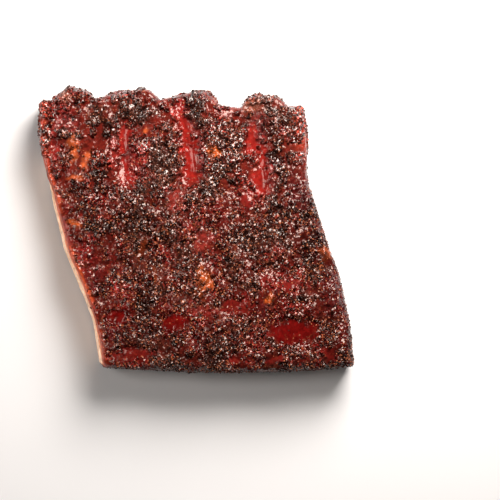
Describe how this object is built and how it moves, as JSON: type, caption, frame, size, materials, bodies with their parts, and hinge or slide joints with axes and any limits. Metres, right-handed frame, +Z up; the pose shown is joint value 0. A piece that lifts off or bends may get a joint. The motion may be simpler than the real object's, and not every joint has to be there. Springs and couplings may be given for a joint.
{
  "type": "rack of ribs",
  "caption": "Half rack of smoked pork ribs, a leaning slab with glazed peppery bark, bone ends in lobes along its thin edge.",
  "frame": {"origin": "middle of the bounding box at its foot, on the surface the rack lies on", "axes": "+Y along the ribs from the straight front cut to the thin lobed back edge, +X across the ribs, +Z up through the bark"},
  "size_m": [0.152, 0.1381, 0.028],
  "materials": {
    "glazed_bark": "wet sugar glaze over dark red-brown smoked bark with cracked pepper and spice rub",
    "rib_bone": "dull cooked bone, tan with darker porous marrow at the sawn ends"
  },
  "bodies": {
    "root": {"meat": "glazed_bark", "rib_bone_1": "rib_bone", "rib_bone_2": "rib_bone", "rib_bone_3": "rib_bone", "rib_bone_4": "rib_bone"}
  },
  "joints": []
}
